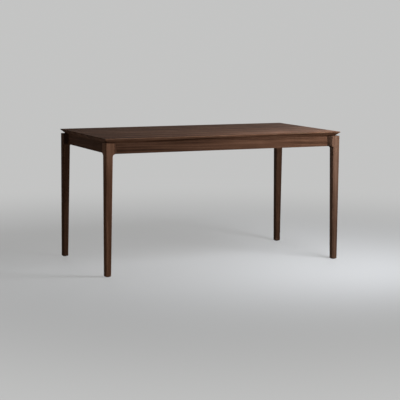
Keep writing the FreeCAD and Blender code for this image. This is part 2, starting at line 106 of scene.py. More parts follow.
# %% Wrap a socket
class Wire:
    """One socket of a material's nodes. Arithmetic on it adds Math nodes."""

    def __init__(self, tree, socket=None):
        self.tree = tree
        self.socket = socket

    def node(self, kind, settings=None, sockets=None, output=0):
        """Add any node, and give back the wire from one of its outputs."""
        made = self.tree.nodes.new("ShaderNode" + kind)
        for name, value in (settings or {}).items():
            if name == "stops":
                self.set_stops(made.color_ramp.elements, value)
            else:
                setattr(made, name, value)
        for key, value in (sockets or {}).items():
            if isinstance(value, Wire):
                self.tree.links.new(value.socket, made.inputs[key])
            else:
                made.inputs[key].default_value = value
        return Wire(self.tree, made.outputs[output])

    def set_stops(self, elements, stops):
        """Set the places and colours of a colour ramp."""
        while len(elements) < len(stops):
            elements.new(1)
        for element, (place, colour) in zip(elements, stops):
            element.position = place
            element.color = (*colour, 1)

    def math(self, operation, *values):
        return self.node("Math", {"operation": operation}, dict(enumerate(values)))

    def __add__(self, other):
        return self.math("ADD", self, other)

    __radd__ = __add__

    def __sub__(self, other):
        return self.math("SUBTRACT", self, other)

    def __rsub__(self, other):
        return self.math("SUBTRACT", other, self)

    def __mul__(self, other):
        return self.math("MULTIPLY", self, other)

    __rmul__ = __mul__

    def __truediv__(self, other):
        return self.math("DIVIDE", self, other)

    def __rtruediv__(self, other):
        return self.math("DIVIDE", other, self)

    def __pow__(self, other):
        return self.math("POWER", self, other)

    def __abs__(self):
        return self.math("ABSOLUTE", self)

    def fraction(self):
        return self.math("FRACT", self)

    def least(self, other):
        return self.math("MINIMUM", self, other)

    def most(self, other):
        return self.math("MAXIMUM", self, other)

    def fade(self, start, end):
        """Smooth step: 0 at the start value and 1 at the end value."""
        limits = {"Value": self, "From Min": start, "From Max": end}
        return self.node("MapRange", {"interpolation_type": "SMOOTHSTEP"}, limits)

    def vector(self, operation, other, output=0):
        return self.node("VectorMath", {"operation": operation}, {0: self, 1: other}, output)

    def along(self, direction):
        """How far a place lies in one direction."""
        return self.vector("DOT_PRODUCT", direction, "Value")

    def mix(self, first, second):
        """Colour between two colours, with this wire as the share of the second."""
        return self.node("Mix", {"data_type": "RGBA"}, {0: self, 6: first, 7: second}, 2)


trial = bpy.data.node_groups.new("trial", "ShaderNodeTree")
1 - Wire(trial).node("Value") * 0.5
print("1 - value * 0.5 takes", len(trial.nodes), "nodes:", [made.name for made in trial.nodes])
bpy.data.node_groups.remove(trial)

# %% [markdown]
# ## A material to work in
# A new material in Blender starts with a Principled shader. It is the right one for wood, metal and plastic
# alike, because its sockets are named for what can be seen: colour, roughness, metal, normal. Values that
# are the same all over the piece are set on those sockets as plain numbers. Only what changes over the
# surface comes in by wire, since that is what gets baked when the model is exported.

# %% Start and finish a material
def new_material(name):
    """A material with a Principled shader, and a wire that can add nodes to it."""
    material = bpy.data.materials.new(name)
    material.use_nodes = True
    return material, Wire(material.node_tree)


def set_surface(material, **values):
    """Set or link sockets of the Principled shader. An underscore stands for a space."""
    shader = material.node_tree.nodes["Principled BSDF"]
    for name, value in values.items():
        socket = shader.inputs[name.replace("_", " ")]
        if isinstance(value, Wire):
            material.node_tree.links.new(value.socket, socket)
        else:
            socket.default_value = value


def dress(node, material):
    """Give one piece of the table its finish."""
    pieces[node].data.materials.clear()
    pieces[node].data.materials.append(material)


# %% [markdown]
# ## Wood as a solid
# A flat picture of wood wrapped round a leg gives itself away at every corner. Real grain runs through the
# piece, so this wood is a solid: every point of a piece has its place in a log, so far along the grain, so
# far across it and so deep. Whatever wood is made of is long and thin, so its noise is drawn out along the
# grain.

# %% Find the place in the log
FIBRES = (7.0, 520.0)


def grain_place(wire, grain, side, shift):
    """Place in the wood: along the grain, across it, and square to both. The shift picks the log."""
    place = wire.node("TexCoord", output="Object")
    grain = Vector(grain).normalized()
    side = Vector(side).normalized()
    third = grain.cross(side)
    parts = {0: place.along(grain), 1: place.along(side), 2: place.along(third)}
    return wire.node("CombineXYZ", None, parts).vector("ADD", shift)


def streaks(place, stretch, detail=2.0, roughness=0.5, output=0):
    """Noise drawn out along the grain. The stretch is in repeats a metre, along and across."""
    along, across = stretch
    scaled = place.vector("MULTIPLY", (along, across, across))
    return place.node("TexNoise", None,
                      {"Vector": scaled, "Scale": 1.0, "Detail": detail, "Roughness": roughness}, output)


print("a fibre is", round(FIBRES[1] / FIBRES[0]), "times as long as it is wide")

# %% [markdown]
# ## Rings of the tree
# The trunk is a set of rings round its pith. A board is cut some way off that pith and a little out of line
# with it, and that slight slope is what draws the long arches on a flat-sawn face. Walnut also has veins of
# darker and lighter brown. They could be a noise of their own, but then they cross the rings and look
# painted on. Here both read the same distance from the pith, so the veins follow the rings, and end grain
# comes out right by itself.

# %% Grow the rings
RING_WIDTH = 0.0042
RING_UNEVENNESS = 1.6
RIM_SHARPNESS = 2.6
TRUNK_SWAY = 0.016
PITH_SLOPE = (0.016, 0.011)
MEAN_NOISE = 0.5
SWAY, LIFT, YEARS = (0.9, 4.0), (1.1, 5.0), (1.4, 22.0)
VEINS_ALONG, VEINS_ACROSS = 1.5, 85.0


def from_pith(place, pith):
    """How far a place lies from the pith, which slopes and sways along the trunk."""
    sway = place.node("SeparateXYZ", None, {0: streaks(place, SWAY, output="Color")}, 0)
    lift = place.node("SeparateXYZ", None, {0: streaks(place, LIFT, output="Color")}, 1)
    length = place.along((1, 0, 0))
    across = place.along((0, 1, 0)) - pith[0] + length * PITH_SLOPE[0] + (sway - MEAN_NOISE) * TRUNK_SWAY
    depth = place.along((0, 0, 1)) - pith[1] + length * PITH_SLOPE[1] + (lift - MEAN_NOISE) * TRUNK_SWAY
    return (across * across + depth * depth) ** 0.5


def late_wood(place, radius):
    """0 over most of a year's ring, rising to 1 at its dark rim."""
    uneven = streaks(place, YEARS, detail=1.0)
    return (radius / RING_WIDTH + uneven * RING_UNEVENNESS).fraction() ** RIM_SHARPNESS


def vein_bands(place, radius):
    """Bands of colour that follow the rings, and change slowly along the trunk."""
    parts = {0: place.along((1, 0, 0)) * VEINS_ALONG, 1: radius * VEINS_ACROSS}
    bands = place.node("CombineXYZ", None, parts)
    return place.node("TexNoise", None, {"Vector": bands, "Scale": 1.0, "Detail": 3.0, "Roughness": 0.6})


print("a ring every", RING_WIDTH * 1000, "mm, with the pith swaying", TRUNK_SWAY * 1000, "mm")

# %% [markdown]
# ## From grain to figure
# Walnut is built up in layers that differ in scale. Broad streaks of heartwood drift along a board over a
# hand's width. Veins and rings draw the figure, and fibres make it silky. One number, how light the wood
# is, adds them up, so that a single ramp of browns can colour it later. The pores are kept apart: they are
# dark dashes a fraction of a millimetre wide that also dent the surface and dull it.

# %% Draw the figure
HEART_SHARE, VEIN_SHARE, FIBRE_SHARE, SILK_SHARE, RIM_SHARE = 1.5, 2.0, 0.5, 0.3, 0.34
MEAN_RIM = 0.28
HEART, SILK, PORES = (0.6, 19.0), (11.0, 3.0), (75.0, 1900.0)
PORE_FROM, PORE_TO = 0.56, 0.70
FIGURE_LEVEL = (HEART_SHARE + VEIN_SHARE + FIBRE_SHARE + SILK_SHARE) * MEAN_NOISE - RIM_SHARE * MEAN_RIM


def figure(place, pith):
    """How light the wood is at a place, round 0, and its fibres and its pores there."""
    radius = from_pith(place, pith)
    fibres = streaks(place, FIBRES, detail=3.0, roughness=0.6)
    heart = streaks(place, HEART) * HEART_SHARE
    veins = vein_bands(place, radius) * VEIN_SHARE
    silk = streaks(place, SILK, detail=1.0) * SILK_SHARE
    rims = late_wood(place, radius) * RIM_SHARE
    pores = streaks(place, PORES, detail=1.0).fade(PORE_FROM, PORE_TO)
    return heart + veins + fibres * FIBRE_SHARE + silk - rims - FIGURE_LEVEL, fibres, pores


print("the figure stays round 0 by taking off", round(FIGURE_LEVEL, 3))

# %% [markdown]
# ## Browns
# A ramp of three browns turns the lightness of the figure into colour, and one tone scales all three for a
# piece. Pores hold more oil than the wood round them and look darker. So does end grain, and no map of it
# is needed: it shows on every face that looks along the grain.

# %% Colour the wood
LEVELS = (0.0, 0.5, 1.0)
PORE_DARKNESS, PORE_SHADE = 0.55, 0.6
END_FROM, END_TO = 0.55, 0.9
END_DARKNESS, END_SHADE = 0.45, 0.9


def deeper(colour, share):
    """A darker version of a colour, with the opacity that colour sockets want."""
    return (*[channel * share for channel in colour], 1)


def end_grain(wire, grain):
    """1 on faces that look along the grain."""
    facing = wire.node("NewGeometry", output="Normal").along(Vector(grain).normalized())
    return abs(facing).fade(END_FROM, END_TO)


def oiled(wire, light, pores, ends, browns, tone):
    """Colour of oiled wood from how light it is, with darker pores and ends."""
    stops = [(level, deeper(brown, tone)[:3]) for level, brown in zip(LEVELS, browns)]
    colour = wire.node("ValToRGB", {"stops": stops}, {"Fac": light})
    colour = (pores * PORE_DARKNESS).mix(colour, deeper(browns[0], PORE_SHADE))
    return (ends * END_DARKNESS).mix(colour, deeper(browns[0], END_SHADE))


print("oil darkens a pore by", PORE_DARKNESS, "and end grain by", END_DARKNESS)

# %% [markdown]
# ## The finish on top of it
# Oil leaves a satin skin. It fills the fibres but not the pores, so a pore is a rough dent in a smoother
# surface, and a lamp's glint breaks up along the grain. Wear, glue lines and painted light and shade are
# masks that each kind of piece brings along, because only the piece knows where its edges are.

# %% Finish the wood
GLOSS, SATIN = 0.06, 0.75
PORE_DULLNESS, END_DULLNESS, FIBRE_DULLNESS = 0.16, 0.14, 0.16
PORE_DEPTH, DENT_STRENGTH, FIBRE_HEIGHT = 0.00022, 0.55, 0.25
BARE_WOOD = (0.26, 0.17, 0.11, 1)
RUBS, RUB_FROM, RUB_TO = (14.0, 60.0), 0.42, 0.72
RUB_SHARE, RUB_DULLNESS = 0.30, 0.10
PAINTED_LIGHT_STEP, DARK_SHADE = 0.28, 0.5


def wood(name, browns, grain, side, shift, pith, tone=1.0, bold=1.0, dullness=SATIN, wear=None, darker=None,
         painted_light=None):
    """A wood finish. The tone lightens or darkens the whole piece, and the masks change parts of it."""
    material, wire = new_material(name)
    place = grain_place(wire, grain, side, shift)
    light, fibres, pores = figure(place, pith)
    light = LEVELS[1] + light * bold
    # Painted light: this mask lightens places such as the underside of the top or the head of a leg, as if
    # more light fell there.
    if painted_light is not None:
        light = light + painted_light(wire) * PAINTED_LIGHT_STEP
    ends = end_grain(wire, grain)
    colour = oiled(wire, light, pores, ends, browns, tone)
    roughness = dullness + pores * PORE_DULLNESS + ends * END_DULLNESS
    roughness = roughness + (fibres - MEAN_NOISE) * FIBRE_DULLNESS

    if wear is not None:
        rubbed = wear(wire) * streaks(place, RUBS).fade(RUB_FROM, RUB_TO)
        colour = (rubbed * RUB_SHARE).mix(colour, BARE_WOOD)
        roughness = roughness + rubbed * RUB_DULLNESS
    # The darker mask is a real glue line on the boards of the top, and painted shade on the cheeks of the
    # legs.
    if darker is not None:
        colour = darker(wire).mix(colour, deeper(browns[0], DARK_SHADE))

    relief = fibres * FIBRE_HEIGHT - pores
    dents = wire.node("Bump", None, {"Strength": DENT_STRENGTH, "Distance": PORE_DEPTH, "Height": relief})
    set_surface(material, Base_Color=colour, Roughness=roughness, Normal=dents, Specular_IOR_Level=GLOSS)
    return material


print("pores are", PORE_DEPTH * 1000, "mm deep, in a skin of roughness", SATIN)

# %% [markdown]
# ## Wear, glue and painted light on the top
# The sharp rim of the top is rubbed a little lighter, where hands and chairs touch it. Its underside and its
# bevel are painted lighter, as painted light from below. A thin dark line marks the glue between two boards.
# These could be painted by hand, but all three follow from the place and the direction of a face, so each
# is a short formula.

# %% Mark rim, underside and glue
RIM_RUB = 0.005
DOWN_FROM, DOWN_TO = 0.1, 0.6
GLUE_WIDTH = 0.0005
GLUE_DARKNESS = 0.65


def from_edges(wire):
    """How far a place lies in from the nearer end of the table, and from its nearer side."""
    place = wire.node("TexCoord", output="Object")
    return cad_high.x - abs(place.along((1, 0, 0))), cad_high.y - abs(place.along((0, 1, 0)))


def rim_wear(wire):
    """1 at the outer rim of the top, fading a few millimetres in from it."""
    from_end, from_side = from_edges(wire)
    return from_end.least(from_side).fade(RIM_RUB, 0.0)


def painted_underside_light(wire):
    """1 on faces that look down, the underside of the top and its bevel, where light is painted in."""
    return wire.node("NewGeometry", output="Normal").along((0, 0, -1)).fade(DOWN_FROM, DOWN_TO)


def glue_lines(low, high):
    """Mask that darkens the two long edges of a board, where they are glued."""
    def line(wire):
        across = wire.node("TexCoord", output="Object").along((0, 1, 0))
        middle = (low.y + high.y) / 2
        from_edge = (high.y - low.y) / 2 - abs(across - middle)
        inside = (cad_high.y - abs(across)).fade(GLUE_WIDTH, GLUE_WIDTH * 4)
        return from_edge.fade(GLUE_WIDTH, 0.0) * inside * GLUE_DARKNESS
    return line


print("rim rubbed over", RIM_RUB * 1000, "mm, glue lines", GLUE_WIDTH * 2000, "mm wide")

# %% [markdown]
# ## The top
# Five boards are glued edge to edge, and each came from its own place in the log. That shows in two ways:
# the tone steps at every joint, and no arch of grain carries on across one. One finish over the whole top
# would lose both, so each board gets its own, with its own tone, its own pith and its own stretch of the
# log.

# %% Dress the boards of the top
WALNUT = ((0.030, 0.0122, 0.0058), (0.106, 0.0485, 0.0262), (0.190, 0.0970, 0.0585))
TOP_BOLDNESS = 1.4
BOARDS = [
    {"tone": 1.24, "pith": (0.012, -0.075), "log": 0.0},
    {"tone": 0.88, "pith": (-0.045, -0.052), "log": 3.1},
    {"tone": 1.15, "pith": (0.020, 0.090), "log": 6.7},
    {"tone": 0.99, "pith": (-0.015, -0.060), "log": 9.4},
    {"tone": 0.88, "pith": (0.050, 0.070), "log": 12.8},
]

for number, board in enumerate(BOARDS, start=1):
    node = f"top_board_{number}"
    low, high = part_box(node)
    middle = (low + high) / 2
    pith = (middle.y + board["pith"][0], middle.z + board["pith"][1])
    # The underside and bevel of each board get painted light from below.
    dress(node, wood(node + "_finish", WALNUT, (1, 0, 0), (0, 1, 0), (board["log"], 0, 0), pith,
                     board["tone"], bold=TOP_BOLDNESS, wear=rim_wear, darker=glue_lines(low, high),
                     painted_light=painted_underside_light))
    print(node, "tone", board["tone"], "pith", [round(value, 3) for value in pith])

# %% [markdown]
# ## Aprons
# An apron is a board on edge, so its grain runs along it and its figure shows on the face. The wood
# function serves as it is: only the direction of the grain and the place of the pith change. The lower edge
# of an apron is what knees and hands rub against, so bare wood shows along it.

# %% Dress the aprons
APRON_RUB = 0.004
APRON_BOLDNESS = 0.9
APRON_TONES = {"front": 0.82, "back": 0.82, "left": 0.76, "right": 0.84}
APRON_PITH = (-0.012, 0.048)
APRON_LOG, APRON_LOG_STEP = 20.0, 2.7


def height_at(wire):
    return wire.node("TexCoord", output="Object").along((0, 0, 1))


def lower_edge_wear(low):
    """Mask that is 1 along the lower edge of a piece."""
    def wear(wire):
        return (height_at(wire) - low.z).fade(APRON_RUB, 0.0)
    return wear


for number, (name, tone) in enumerate(APRON_TONES.items()):
    node = "apron_" + name
    low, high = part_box(node)
    middle = (low + high) / 2
    grain = (1, 0, 0) if name in ("front", "back") else (0, 1, 0)
    side = (0, 0, 1)
    third = Vector(grain).cross(Vector(side))
    pith = (middle.z + APRON_PITH[0], middle.dot(third) + APRON_PITH[1])
    log = APRON_LOG + APRON_LOG_STEP * number
    dress(node, wood(node + "_finish", WALNUT, grain, side, (log, 0, 0), pith, tone,
                     bold=APRON_BOLDNESS, wear=lower_edge_wear(low)))
    print(node, "tone", tone)

# %% [markdown]
# ## Legs
# A leg is cut from a thick square, far enough from the pith for the rings to run down it as near-straight
# lines. The four come from different squares of the log, but their tones are painted light and shade: the
# back legs are dark as shaded ones, the front left one is light and has painted light on its head, and the
# front right one is greyer, as a painted sheen of cool light. Shoes scuff the feet. The slanted cheeks,
# where a head falls back to the aprons, are darkened as painted shade. Height alone tells head and foot
# apart, and a cheek is all that reaches past the post of the leg.

# %% Dress the legs
SCUFF_FROM, SCUFF_TO = 0.030, 0.004
HEAD_FROM, HEAD_TO = 0.50, 0.71
PAINTED_HEAD_LIGHT = 1.35
CHEEK_FROM, CHEEK_TO = 0.0500, 0.0545
PAINTED_CHEEK_SHADE = 0.55
LEG_BOLDNESS = 0.7
LEG_PITH = (0.065, -0.085)
LEG_LOG, LEG_LOG_STEP = 40.0, 3.3


def foot_wear(wire):
    return height_at(wire).fade(SCUFF_FROM, SCUFF_TO)


def cheeks(wire):
    """1 where the head of a leg reaches past its post, towards the aprons."""
    from_end, from_side = from_edges(wire)
    return from_end.most(from_side).fade(CHEEK_FROM, CHEEK_TO)


# Painted shade on the cheeks, where the head of a leg falls back to the aprons.
def painted_cheek_shade(wire):
    return cheeks(wire) * PAINTED_CHEEK_SHADE


# Painted light on the head of a leg, above its cheeks.
def painted_head_light(wire):
    return height_at(wire).fade(HEAD_FROM, HEAD_TO) * (1 - cheeks(wire)) * PAINTED_HEAD_LIGHT


# Browns drawn towards grey, as a painted sheen of cool light on the front right leg.
PAINTED_SHEEN_WALNUT = ((0.030, 0.0136, 0.0072), (0.103, 0.0535, 0.0325), (0.183, 0.1060, 0.0710))
# The leg tones are painted light and shade: light for the lit front legs, dark for the shaded back legs.
LEGS = {
    "front_left": {"tone": 1.42, "browns": WALNUT, "head": painted_head_light},
    "front_right": {"tone": 1.07, "browns": PAINTED_SHEEN_WALNUT, "head": None},
    "back_left": {"tone": 0.72, "browns": WALNUT, "head": None},
    "back_right": {"tone": 0.62, "browns": WALNUT, "head": None},
}

for number, (name, leg) in enumerate(LEGS.items()):
    node = "leg_" + name
    low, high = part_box(node)
    middle = (low + high) / 2
    pith = (middle.x + LEG_PITH[0], middle.y + LEG_PITH[1])
    log = LEG_LOG + LEG_LOG_STEP * number
    dress(node, wood(node + "_finish", leg["browns"], (0, 0, 1), (1, 0, 0), (log, 0, 0), pith, leg["tone"],
                     bold=LEG_BOLDNESS, wear=foot_wear, darker=painted_cheek_shade, painted_light=leg["head"]))
    print(node, "tone", leg["tone"])

# %% [markdown]
# ## Wood inside the frame
# Nobody stains what stands behind an apron. Corner blocks, cross rails, buttons and dowels are plain pale
# hardwood, sawn and left dull. The same function makes it from paler browns and a rougher surface. Each
# corner block lies across its corner, so its grain follows that diagonal.

# %% Dress the inner wood
BEECH = ((0.300, 0.185, 0.105), (0.420, 0.280, 0.170), (0.520, 0.370, 0.240))
CORNERS = {"front_left": (-1, -1), "front_right": (1, -1), "back_left": (-1, 1), "back_right": (1, 1)}
SAWN = 0.68
INNER_BOLDNESS = 0.7
INNER_PITH = (0.09, 0.11)
BLOCK_LOG, BLOCK_LOG_STEP = 60.0, 2.1

inner = [("cross_rail_left", (0, 1, 0), (1, 0, 0), 70.0), ("cross_rail_right", (0, 1, 0), (1, 0, 0), 71.9),
         ("top_buttons", (0, 1, 0), (1, 0, 0), 76.0), ("apron_dowels", (1, 0, 0), (0, 1, 0), 79.0)]
for number, (name, (end, face)) in enumerate(CORNERS.items()):
    inner.append(("corner_block_" + name, (end, -face, 0), (0, 0, 1), BLOCK_LOG + BLOCK_LOG_STEP * number))
for node, grain, side, log in inner:
    dress(node, wood(node + "_finish", BEECH, grain, side, (log, 0, 0), INNER_PITH, bold=INNER_BOLDNESS,
                     dullness=SAWN))
print("plain wood on", len(inner), "pieces")

# %% [markdown]
# ## Zinc
# The bolts, washers, nuts and screws are steel with a thin coat of zinc. New zinc is bright, but it never
# has one colour: it clouds to blue and straw, and handling leaves fine scratches. The pieces are small, so
# soft noise at two scales is enough: one for the clouds, one for the scratches.

# %% Plate the hardware
ZINC_BLUE = (0.56, 0.585, 0.61, 1)
ZINC_STRAW = (0.66, 0.635, 0.575, 1)
CLOUDS, SCRATCHES = 220.0, 2400.0
CLOUD_FROM, CLOUD_TO = 0.35, 0.65
ZINC_DULLNESS, CLOUD_DULLNESS, SCRATCH_DULLNESS = 0.26, 0.14, 0.10
SCRATCH_DEPTH, SCRATCH_STRENGTH = 0.00008, 0.35
HARDWARE = ("hanger_bolts", "hanger_washers", "hanger_nuts", "block_screws", "button_screws", "rail_screws")


def speckle(wire, scale, detail=2.0):
    """Even noise, in repeats a metre."""
    place = wire.node("TexCoord", output="Object")
    return wire.node("TexNoise", None, {"Vector": place, "Scale": scale, "Detail": detail})


zinc_plate, wire = new_material("zinc_plate")
cloud = speckle(wire, CLOUDS)
scratch = speckle(wire, SCRATCHES)
zinc_colour = cloud.fade(CLOUD_FROM, CLOUD_TO).mix(ZINC_BLUE, ZINC_STRAW)
zinc_roughness = ZINC_DULLNESS + cloud * CLOUD_DULLNESS + scratch * SCRATCH_DULLNESS
scratched = wire.node("Bump", None, {"Strength": SCRATCH_STRENGTH, "Distance": SCRATCH_DEPTH,
                                     "Height": scratch})
set_surface(zinc_plate, Base_Color=zinc_colour, Metallic=1.0, Roughness=zinc_roughness, Normal=scratched)
for node in HARDWARE:
    dress(node, zinc_plate)
print("zinc on", len(HARDWARE), "sets of hardware")

# %% [markdown]
# ## Nylon
# The glides under the feet are dark nylon with the dull, slightly pebbled skin of a moulding. A plain dark
# colour would pass from afar, but from below the pebbles are what tells plastic from wood.

# %% Mould the glides
NYLON_DARK = (0.030, 0.026, 0.024, 1)
NYLON_GREY = (0.062, 0.054, 0.049, 1)
PEBBLES, SMEARS = 1500.0, 120.0
SMEAR_FROM, SMEAR_TO = 0.3, 0.7
NYLON_DULLNESS, PEBBLE_DULLNESS = 0.5, 0.12
PEBBLE_DEPTH, PEBBLE_STRENGTH = 0.0001, 0.4

dark_nylon, wire = new_material("dark_nylon")
pebble = speckle(wire, PEBBLES, detail=1.0)
smear = speckle(wire, SMEARS).fade(SMEAR_FROM, SMEAR_TO)
pebbled = wire.node("Bump", None, {"Strength": PEBBLE_STRENGTH, "Distance": PEBBLE_DEPTH, "Height": pebble})
set_surface(dark_nylon, Base_Color=smear.mix(NYLON_DARK, NYLON_GREY),
            Roughness=NYLON_DULLNESS + pebble * PEBBLE_DULLNESS, Normal=pebbled)
for name in CORNERS:
    dress("floor_glide_" + name, dark_nylon)
print("nylon on", len(CORNERS), "glides")

# %% [markdown]
# ## Fasteners in the drawing
# The drawing has bolts, screws and dowels as plain bars, because holes and collisions need no more. Their
# places and sizes aren't written down again, since the drawing knows them. A set of fasteners is one mesh
# of separate islands, and the box round an island gives the middle of one fastener.

# %% Find the fasteners
SAME_POINT = 1e-6


def middle_of(points):
    """Middle of the box round some points."""
    return Vector([(min(axis) + max(axis)) / 2 for axis in zip(*points)])


def islands(node):
    """The corner points of each separate solid in a set."""
    shape = bmesh.new()
    shape.from_mesh(pieces[node].data)
    bmesh.ops.remove_doubles(shape, verts=shape.verts, dist=SAME_POINT)
    waiting, found = set(shape.verts), []
    while waiting:
        island = [waiting.pop()]
        for point in island:
            near = {edge.other_vert(point) for edge in point.link_edges} & waiting
            waiting -= near
            island.extend(near)
        found.append([point.co.copy() for point in island])
    shape.free()
    return sorted(found, key=lambda points: tuple(round(value, 4) for value in middle_of(points)))


print("first hanger bolt at", [round(value, 3) for value in middle_of(islands("hanger_bolts")[0])])

# %% [markdown]
# ## Which way they look
# The direction of a fastener is plain. The screws in the top have their heads below, those in a corner
# block look towards the middle of the table, and the bolts lie along the corner's diagonal. Once the
# direction is known, the corner points of a bar give its length and the radius of its head and of its
# shank.

# %% Measure the fasteners
SAME_LEVEL = 1e-5


def downward(points):
    return Vector((0, 0, -1))


def corner_inward(points):
    """Level, and along the corner's diagonal towards the middle of the table."""
    middle = middle_of(points)
    return Vector((-math.copysign(1, middle.x), -math.copysign(1, middle.y), 0)).normalized()


def square_inward(points):
    """Along X or Y, whichever the bar follows, and towards the middle of the table."""
    spans = [max(axis) - min(axis) for axis in zip(*points)]
    longest = spans.index(max(spans[:2]))
    inward = Vector((0, 0, 0))
    inward[longest] = -math.copysign(1, middle_of(points)[longest])
    return inward


HEADS_LOOK = {"hanger_bolts": corner_inward, "hanger_nuts": corner_inward, "block_screws": square_inward,
              "button_screws": downward, "rail_screws": downward, "apron_dowels": square_inward}


def drawn_bar(node):
    """Length, head radius and shank radius of the first solid in a set."""
    points = islands(node)[0]
    up, middle = HEADS_LOOK[node](points), middle_of(points)
    heights = [point.dot(up) for point in points]
    radii = [(point - middle).cross(up).length for point in points]
    lowest = min(heights)
    foot = [radius for radius, height in zip(radii, heights) if height < lowest + SAME_LEVEL]
    return {"length": max(heights) - lowest, "head": max(radii), "shank": max(foot)}


drawn = {node: drawn_bar(node) for node in HEADS_LOOK}
for node, bar in drawn.items():
    print(node, {name: round(value * 1000, 2) for name, value in bar.items()}, "mm")

# %% [markdown]
# ## Turning
# Real fasteners are turned. A profile could be spun with a Screw modifier, but that gives every side the
# same radius. Here a bar is a stack of rings round one axis, and each ring has its own radius for every
# side. That is enough for threads, flutes and heads alike, and the mesh is closed from end to end.

# %% Turn a bar
SHARP_ANGLE = math.radians(38)


def finished_mesh(shape, name):
    """Turn a bmesh into a mesh that is smooth except at sharp edges."""
    bmesh.ops.recalc_face_normals(shape, faces=shape.faces)
    mesh = bpy.data.meshes.new(name)
    shape.to_mesh(mesh)
    shape.free()
    mesh.shade_smooth()
    mesh.set_sharp_from_angle(angle=SHARP_ANGLE)
    return mesh


def turned(rings, name):
    """Closed mesh from rings round the Z axis. A ring is a height and a radius for each side."""
    shape = bmesh.new()
    loops = []
    for height, radii in rings:
        turns = [2 * math.pi * side / len(radii) for side in range(len(radii))]
        loops.append([shape.verts.new((radius * math.cos(turn), radius * math.sin(turn), height))
                      for radius, turn in zip(radii, turns)])
    for upper, lower in zip(loops, loops[1:]):
        for side in range(len(upper)):
            shape.faces.new((upper[side - 1], lower[side - 1], lower[side], upper[side]))
    shape.faces.new(loops[0])
    shape.faces.new(loops[-1])
    return finished_mesh(shape, name)


print("edges sharper than", round(math.degrees(SHARP_ANGLE)), "degrees stay crisp")

# %% [markdown]
# ## Dowels
# A dowel has flutes, so that glue and air can get out of its hole, and a chamfer at both ends to help it
# in. Two sides out of three keep the full radius and the third is a flute. All of it stays just inside the
# drawn bar.

# %% Turn the dowel
SKIN = 0.00002
END_SHARE = 0.8
DOWEL_CHAMFER = 0.0012
FLUTES, FLUTE_DEPTH = 8, 0.00038

dowel_bar = drawn["apron_dowels"]
ridge = dowel_bar["shank"] - SKIN
fluted = [ridge, ridge, ridge - FLUTE_DEPTH] * FLUTES
dowel_end = [dowel_bar["shank"] * END_SHARE] * len(fluted)
dowel = turned([(0, dowel_end), (-DOWEL_CHAMFER, fluted), (DOWEL_CHAMFER - dowel_bar["length"], fluted),
                (-dowel_bar["length"], dowel_end)], "dowel")
print("dowel with", FLUTES, "flutes,", len(dowel.polygons), "faces")

# %% [markdown]
# ## Threads
# A thread winds once round the bar in each pitch. So the radius of a point follows from its height and its
# side: the one less the other, both in turns, tells how far the point is from a crest. At the tip of a
# screw the rings draw in.

# %% Wind a thread
THREAD_SIDES = 12
ROWS_IN_A_TURN = 4
BLUNTNESS = 0.1


def plain(profile, sides=THREAD_SIDES):
    """Rings of even radius, from pairs of height and radius."""
    return [(height, [radius] * sides) for height, radius in profile]


def thread(outer, depth, pitch, high, low, sides=THREAD_SIDES):
    """Rings whose radius rises to a crest that winds once round in each pitch."""
    rows = round((high - low) / pitch * ROWS_IN_A_TURN)
    rings = []
    for row in range(rows + 1):
        height = high + (low - high) * row / rows
        winding = [(height / pitch - side / sides) % 1 for side in range(sides)]
        rings.append((height, [outer - depth * abs(2 * part - 1) for part in winding]))
    return rings


def pointed(rings, length):
    """Rings that draw in to a point over the last stretch."""
    tip = rings[-1][0]
    drawn_in = []
    for height, radii in rings:
        share = min(1.0, BLUNTNESS + (1 - BLUNTNESS) * (height - tip) / length)
        drawn_in.append((height, [radius * share for radius in radii]))
    return drawn_in


print("a thread has", THREAD_SIDES * ROWS_IN_A_TURN, "faces in each turn")

# %% [markdown]
# ## Hanger bolts
# A hanger bolt has two threads: a fine machine thread for the nut, and a coarse one that bites into the leg
# and ends in a point. Between them is a bare waist.

# %% Turn the hanger bolt
MACHINE_CUT = {"depth": 0.0007, "pitch": 0.00125}
LEG_CUT = {"depth": 0.0011, "pitch": 0.0032}
BOLT_CHAMFER, MACHINE_LOW, WAIST_LOW, RUNOUT = 0.0006, -0.0300, -0.0455, 0.0005
WAIST_SHARE = 0.875
BOLT_POINT = 0.006

bolt_bar = drawn["hanger_bolts"]
crest = bolt_bar["shank"] - SKIN
bolt_end = plain([(0, bolt_bar["shank"] * END_SHARE)])
machine_thread = thread(crest, high=-BOLT_CHAMFER, low=MACHINE_LOW, **MACHINE_CUT)
waist_radius = bolt_bar["shank"] * WAIST_SHARE
waist = plain([(MACHINE_LOW - RUNOUT, waist_radius), (WAIST_LOW, waist_radius)])
leg_thread = thread(crest, high=WAIST_LOW - RUNOUT, low=-bolt_bar["length"], **LEG_CUT)
hanger_bolt = turned(bolt_end + machine_thread + waist + pointed(leg_thread, BOLT_POINT), "hanger_bolt")
print("hanger bolt with", len(hanger_bolt.polygons), "faces")

# %% [markdown]
# ## Cutting with Boolean modifiers
# The cross in a screw head has flat walls that lean in towards its point, and the chamfer of a nut leaves a
# curved line on each of its six flats. Both come from a tool meeting a blank, so the shop's own way is the
# easy one here: a Boolean modifier takes a cross out of the head, and keeps of the hexagon only what lies
# inside a turned form. Each fastener is cut once, and then copied.

# %% Press a cross
CROSS_LENGTH, CROSS_WIDTH, CROSS_DEPTH = 0.0046, 0.0011, 0.0018
FOOT_LENGTH_SHARE, FOOT_WIDTH_SHARE = 0.35, 0.70
OVERRUN = 0.001


def wedge(length, width, depth):
    """A bar for one arm of the cross, narrower at its foot."""
    shape = bmesh.new()
    bmesh.ops.create_cube(shape, size=1.0)
    for corner in shape.verts:
        foot = corner.co.z < 0
        corner.co.x *= length * (FOOT_LENGTH_SHARE if foot else 1.0)
        corner.co.y *= width * (FOOT_WIDTH_SHARE if foot else 1.0)
        corner.co.z = -depth if foot else OVERRUN
    return finished_mesh(shape, "wedge")


